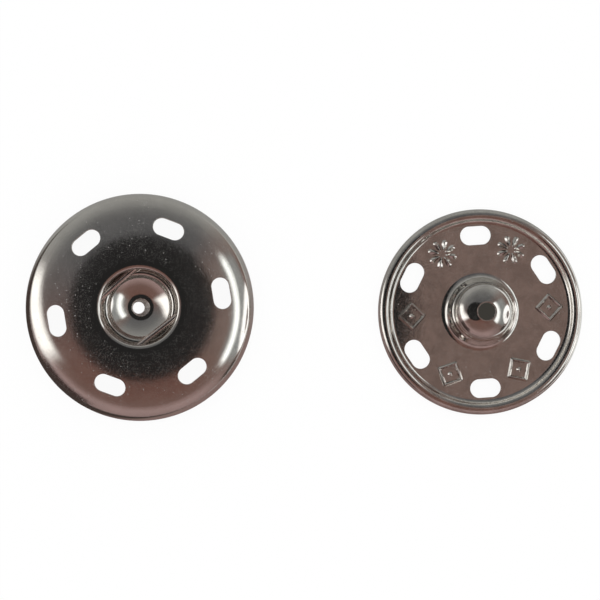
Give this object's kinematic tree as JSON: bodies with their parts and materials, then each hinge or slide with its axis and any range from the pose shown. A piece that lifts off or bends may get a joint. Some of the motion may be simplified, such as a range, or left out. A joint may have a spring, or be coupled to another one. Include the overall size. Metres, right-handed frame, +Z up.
{
  "type": "snap fastener",
  "caption": "Large sew-on snap fastener: a domed socket half with a wire spring under its lip, and a stud half whose hollow ball clicks into it.",
  "frame": {"origin": "middle of the base under the open pair, where both halves rest on a table", "axes": "+X from the socket half towards the stud half, +Z up, out of both mating faces"},
  "size_m": [0.052, 0.021, 0.0042],
  "materials": {
    "nickel_plate": "bright nickel plating on pressed sheet, mirror smooth",
    "spring_wire": "bright drawn wire"
  },
  "bodies": {
    "root": {"socket_plate": "nickel_plate", "spring": "spring_wire", "stud_plate": "nickel_plate"}
  },
  "joints": []
}
